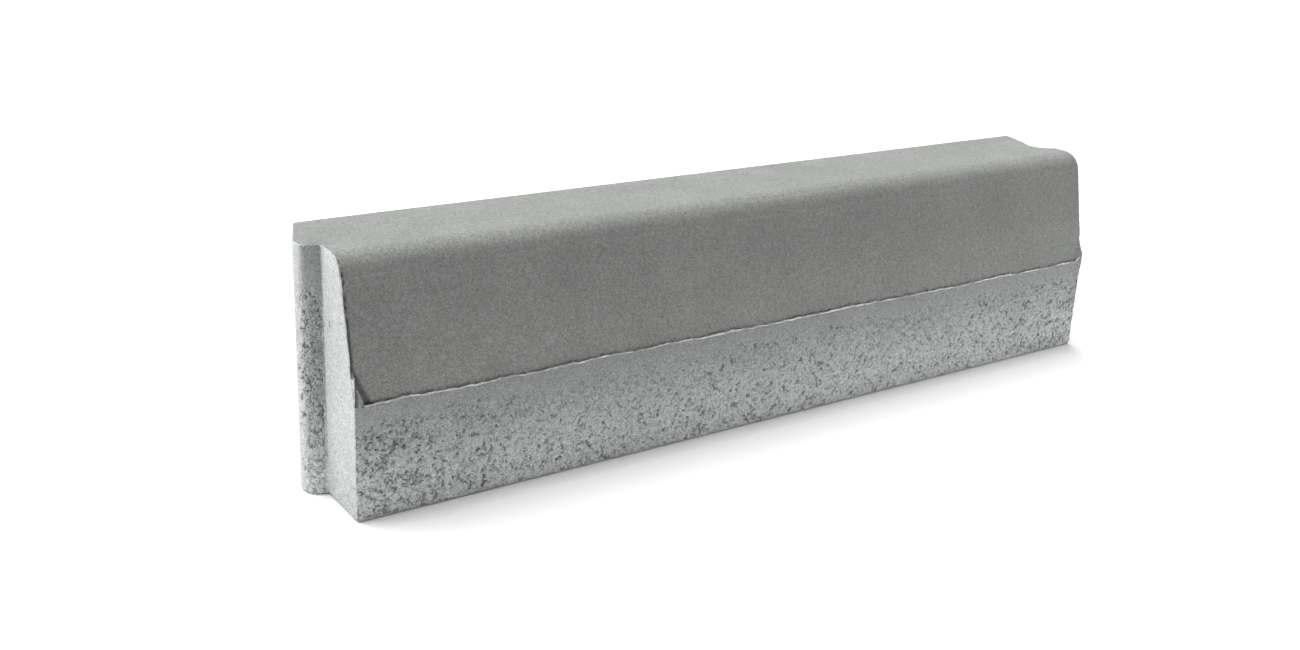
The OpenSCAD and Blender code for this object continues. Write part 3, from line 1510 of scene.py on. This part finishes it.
@dataclass(frozen=True)
class CastConcrete:
    """The finish of the cast body: fine facing mix over coarse core mix.

    Attributes:
        facing: Colour of the facing mix.
        core: Colour of the core mix.
        skin_shade: How much darker the closed skin of the core mix is.
        bounce_fade_heights: Heights between which the kerb face's foot grows darker, as painted shade
            standing in for the floor's bounce light fading with height.
        painted_bounce_shade: How much painted shade it has at the higher one.
        painted_gap_shade: How much painted shade, with some dirt, the open gaps get.
        painted_pore_shade: How much painted shade, with some dirt, the pores of the open grain get.
        painted_crack_shade: How much painted shade, with some dirt, the cracks between grains get.
        painted_pinpoint_shade: How much painted shade the pores of the closed skin get.
        darkest: The least share of its colour that any place keeps.
        painted_upper_light: Heights between which the battered face grows darker, painted shade for light
            that falls off towards its top; faces turned up are painted lighter, painted light.
        tangent: Height where the arris meets the battered face.
        roughness: How matte it is.
    """

    facing: tuple[float, float, float, float] = (0.204, 0.2100, 0.2025, 1.0)
    core: tuple[float, float, float, float] = (0.585, 0.602, 0.596, 1.0)
    skin_shade: float = 0.10
    bounce_fade_heights: tuple[float, float] = (0 * MM, 112 * MM)
    painted_bounce_shade: float = 0.47
    painted_gap_shade: float = 0.38
    painted_pore_shade: float = 0.22
    painted_crack_shade: float = 0.32
    painted_pinpoint_shade: float = 0.30
    darkest: float = 0.25
    painted_upper_light: tuple[float, float] = (120 * MM, 215 * MM)
    tangent: float = 229 * MM
    roughness: float = 0.93

    def build(self, shelf: EffectShelf) -> bpy.types.Material:
        """Builds the material.

        Args:
            shelf: The shared effects.

        Returns:
            The material.
        """
        bench, material = NodeBench.of_material("cast_concrete")
        place = bench.node("ShaderNodeTexCoord").outputs["Object"]
        facing, grainy, gap = (
            bench.node("ShaderNodeAttribute", attribute_name=name).outputs["Fac"]
            for name in ("facing", "open_grain", "gap")
        )
        sand = shelf.use(Effect.GRAIN, bench, place, Grain_Size=1.1 * MM, Contrast=0.42)
        clouds = shelf.use(Effect.CLOUDING, bench, place, Cloud_Size=70 * MM, Contrast=0.08)
        mottle = shelf.use(Effect.CLOUDING, bench, place, Cloud_Size=5 * MM, Contrast=0.10)
        pores = shelf.use(
            Effect.PORES, bench, place, Spacing=2.6 * MM, Share=0.40, Radius=0.70 * MM, Depth=0.5 * MM
        )
        pinpoints = shelf.use(
            Effect.PORES, bench, place, Spacing=3.6 * MM, Share=0.28, Radius=0.6 * MM, Depth=0.3 * MM
        )
        skin = bench.math("SUBTRACT", 1.0, grainy)
        apart = bench.put(bench.node("ShaderNodeSeparateXYZ"), Vector=place)
        facing_out = bench.put(
            bench.node("ShaderNodeSeparateXYZ"),
            Vector=bench.node("ShaderNodeNewGeometry").outputs["True Normal"],
        )
        # Painted shade: the foot of the kerb face is darkened towards its top, standing in for the floor's
        # bounce light fading with height.
        front = bench.step(facing_out.outputs["Y"], -0.3, -0.7)
        high = bench.step(apart.outputs["Z"], self.bounce_fade_heights[0], self.bounce_fade_heights[1])
        skin_and_painted_shade = bench.math("MULTIPLY", skin, -self.skin_shade)
        skin_and_painted_shade = bench.math("MULTIPLY_ADD", bench.math("MULTIPLY", high, front), -self.painted_bounce_shade, skin_and_painted_shade)
        skin_and_painted_shade = bench.math("ADD", skin_and_painted_shade, 1.0)
        core = bench.scale_colour(bench.rgb(self.core), skin_and_painted_shade)
        # Painted shade and light: the battered face is darkened towards its top, and faces turned upwards
        # are lightened as if lit more.
        painted_upper_light = bench.step(apart.outputs["Z"], self.painted_upper_light[0], self.painted_upper_light[1], 1.06, 0.90)
        painted_upper_light = bench.math("MAXIMUM", painted_upper_light, bench.step(facing_out.outputs["Z"], 0.3, 0.95, 0.85, 1.11))
        line = bench.math("ABSOLUTE", bench.math("SUBTRACT", apart.outputs["Z"], self.tangent))
        line = bench.step(line, 1.4 * MM, 0.3 * MM)
        broken = bench.step(bench.noise(place, 16 * MM, 3.0), 0.42, 0.62)
        line = bench.math("MULTIPLY", bench.math("MULTIPLY", line, broken), 0.12)
        shaded = bench.scale_colour(bench.rgb(self.facing), bench.math("ADD", painted_upper_light, line))
        body = bench.mix(facing, core, shaded)
        tint = bench.math("MULTIPLY", sand.outputs["Tint"], clouds.outputs["Tint"])
        tint = bench.math("MULTIPLY", tint, mottle.outputs["Tint"])
        cracks = shelf.use(
            Effect.CRACKS, bench, place, Grain_Size=3.2 * MM, Crack_Width=0.55 * MM, Depth=0.6 * MM
        )
        grains = bench.math("SUBTRACT", cracks.outputs["Tint"], 1.0)
        tint = bench.math("MULTIPLY", tint, bench.math("MULTIPLY_ADD", grains, grainy, 1.0))
        open_pores = bench.math("MULTIPLY", pores.outputs["Mask"], grainy)
        tight_pores = bench.math("MULTIPLY", pinpoints.outputs["Mask"], skin)
        open_cracks = bench.math("MULTIPLY", cracks.outputs["Mask"], grainy)
        # Painted shade, with some dirt, in the pores, cracks, pinholes and gaps.
        painted_hollow_shade = bench.math("MULTIPLY", open_pores, self.painted_pore_shade)
        painted_hollow_shade = bench.math("MULTIPLY_ADD", open_cracks, self.painted_crack_shade, painted_hollow_shade)
        painted_hollow_shade = bench.math("MULTIPLY_ADD", tight_pores, self.painted_pinpoint_shade, painted_hollow_shade)
        painted_hollow_shade = bench.math("MULTIPLY_ADD", gap, self.painted_gap_shade, painted_hollow_shade)
        kept = bench.math("MAXIMUM", bench.math("SUBTRACT", 1.0, painted_hollow_shade), self.darkest)
        colour = bench.scale_colour(body, bench.math("MULTIPLY", tint, kept))

        height = bench.math("MULTIPLY", pores.outputs["Height"], grainy)
        height = bench.math("ADD", height, sand.outputs["Height"])
        height = bench.math("ADD", height, pinpoints.outputs["Height"])
        height = bench.math("ADD", height, bench.math("MULTIPLY", cracks.outputs["Height"], grainy))
        bench.finish(colour, height, self.roughness)
        return material


@dataclass(frozen=True)
class DriedFines:
    """The finish of the flash: pale fines that dried in a thin edge.

    Attributes:
        pale: Its lighter colour.
        dull: Its darker colour.
        roughness: How matte it is.
    """

    pale: tuple[float, float, float, float] = (0.62, 0.62, 0.60, 1.0)
    dull: tuple[float, float, float, float] = (0.34, 0.345, 0.335, 1.0)
    roughness: float = 0.9

    def build(self, shelf: EffectShelf) -> bpy.types.Material:
        """Builds the material.

        Args:
            shelf: The shared effects.

        Returns:
            The material.
        """
        bench, material = NodeBench.of_material("dried_fines")
        place = bench.node("ShaderNodeTexCoord").outputs["Object"]
        grain = shelf.use(Effect.GRAIN, bench, place, Grain_Size=0.7 * MM, Contrast=0.12)
        patches = bench.step(bench.noise(place, 14 * MM, 3.0), 0.38, 0.6)
        colour = bench.scale_colour(bench.mix(patches, self.dull, self.pale), grain.outputs["Tint"])
        bench.finish(colour, grain.outputs["Height"], self.roughness)
        return material


@dataclass(frozen=True)
class Studio:
    """The floor, the light and the camera.

    Attributes:
        eye: Where the camera stands.
        yaw: Its direction, in degrees from +Y towards +X.
        pitch: How far it looks down, in degrees.
        roll: How far it is rolled, in degrees.
        lens: Focal length in millimetres, on a 36 mm sensor.
        shift: Vertical shift.
        floor_colour: Colour of the floor.
        floor_size: Length of its sides.
        sky: Brightness of the surroundings.
        overhead: The main light: the way to it, its strength and its spread in degrees.
        side: The faint light on the tongue end, in the same terms.
        front: The panel: its place, what it is turned to, its size and its power.
    """

    eye: tuple[float, float, float] = (-0.9458, -1.1508, 0.6175)
    yaw: float = 35.357
    pitch: float = 18.129
    roll: float = 2.661
    lens: float = 38.23
    shift: float = -0.0318
    floor_colour: tuple[float, float, float, float] = (0.87, 0.87, 0.87, 1.0)
    floor_size: float = 60.0
    sky: float = 0.25
    overhead: tuple[Place, float, float] = ((-0.16, 0.38, 0.9), 5.5, 64.0)
    side: tuple[Place, float, float] = ((-1.0, -0.25, 0.2), 0.14, 40.0)
    front: tuple[Place, Place, float, float] = ((1.05, -1.05, 0.18), (0.4, 0.0, 0.03), 0.8, 5.4)

    def floor(self) -> bpy.types.Object:
        """Builds the floor."""
        bpy.ops.mesh.primitive_plane_add(size=self.floor_size, location=(0, 0, 0))
        plane = bpy.context.object
        plane.name = "floor"
        material = bpy.data.materials.new("pale_floor")
        material.use_nodes = True
        shader = material.node_tree.nodes["Principled BSDF"]
        shader.inputs["Base Color"].default_value = self.floor_colour
        shader.inputs["Roughness"].default_value = 0.9
        plane.data.materials.append(material)
        return plane

    def surroundings(self) -> None:
        """Lights the scene evenly from all round."""
        scene = bpy.context.scene
        world = bpy.data.worlds.new("surroundings")
        world.use_nodes = True
        background = world.node_tree.nodes["Background"]
        background.inputs["Color"].default_value = (1.0, 1.0, 1.0, 1.0)
        background.inputs["Strength"].default_value = self.sky
        scene.world = world
        scene.view_settings.view_transform = "Standard"

    def lamp(self, name: str, toward: Place, strength: float, spread: float) -> None:
        """Adds a distant soft light.

        Args:
            name: Its name.
            toward: Direction from the stone to the light.
            strength: Its strength.
            spread: How wide it looks, in degrees.
        """
        light = bpy.data.lights.new(name, "SUN")
        light.energy, light.angle = strength, math.radians(spread)
        self.hang(light, Vector(toward))

    @staticmethod
    def hang(light: bpy.types.Light, back: Vector) -> bpy.types.Object:
        """Puts a light in the scene with its back turned one way."""
        lamp = bpy.data.objects.new(light.name, light)
        lamp.rotation_euler = back.to_track_quat("Z", "Y").to_euler()
        bpy.context.scene.collection.objects.link(lamp)
        return lamp

    def panel(self, name: str, place: Place, aim: Place, size: float, power: float) -> None:
        """Adds a square soft light.

        Args:
            name: Its name.
            place: Where it stands.
            aim: The point it is turned to.
            size: Length of its sides.
            power: Its power in watts.
        """
        light = bpy.data.lights.new(name, "AREA")
        light.energy, light.size = power, size
        self.hang(light, Vector(place) - Vector(aim)).location = place

    def camera(self) -> None:
        """Sets up the camera."""
        yaw, pitch, roll = (math.radians(a) for a in (self.yaw, self.pitch, self.roll))
        ahead = Vector(
            (math.sin(yaw) * math.cos(pitch), math.cos(yaw) * math.cos(pitch), -math.sin(pitch))
        )
        level = Vector((math.cos(yaw), -math.sin(yaw), 0.0))
        upright = level.cross(ahead)
        right = math.cos(roll) * level + math.sin(roll) * upright
        up = math.cos(roll) * upright - math.sin(roll) * level
        data = bpy.data.cameras.new("camera")
        data.sensor_width, data.lens, data.shift_y = SENSOR_WIDTH, self.lens, self.shift
        camera = bpy.data.objects.new("camera", data)
        turn = Matrix((right, up, -ahead)).transposed().to_4x4()
        camera.matrix_world = Matrix.Translation(self.eye) @ turn
        bpy.context.scene.collection.objects.link(camera)
        bpy.context.scene.camera = camera

    def build(self) -> None:
        """Builds the floor, the lights and the camera."""
        self.floor()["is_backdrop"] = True
        self.surroundings()
        self.lamp("overhead", *self.overhead)
        self.lamp("side", *self.side)
        self.panel("front", *self.front)
        self.camera()


def keep_inside(
    mesh: bpy.types.Mesh, bounds: Sequence[Sequence[float]], margin: float = 0.01 * MM
) -> None:
    """Moves the few vertices that remeshing pushed out of the part's box back into it.

    Args:
        mesh: The mesh to change.
        bounds: The box's lowest and highest corners.
        margin: How far inside the box they stay.
    """
    flat = np.empty(len(mesh.vertices) * 3, np.float32)
    mesh.vertices.foreach_get("co", flat)
    low, high = (np.array(corner) for corner in bounds)
    points = np.clip(flat.reshape(-1, 3), low + margin, high - margin)
    mesh.vertices.foreach_set("co", points.astype(np.float32).ravel())
    mesh.update()


def main() -> None:
    """Builds the stone, its flash and the studio, and reports each piece."""
    logging.basicConfig(level=logging.INFO, format="%(name)s: %(message)s")
    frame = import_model()
    cad_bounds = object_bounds()
    size = KerbSize.from_record(frame["record"])
    form = KerbForm(size)
    shelf = EffectShelf()

    body = KerbBody(form)
    stone = body.build()
    stone.data.materials.append(CastConcrete().build(shelf))
    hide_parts(NODE)
    pieces = [stone]

    fines = DriedFines().build(shelf)
    for ridge in FlashSet(form).build():
        ridge.data.materials.append(fines)
        pieces.append(ridge)

    for piece in pieces:
        keep_inside(piece.data, cad_bounds)
        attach(piece, BODY)
        LOG.info("%s: %d faces", piece.name, len(piece.data.polygons))

    Studio().build()


if __name__ == "__main__":
    main()
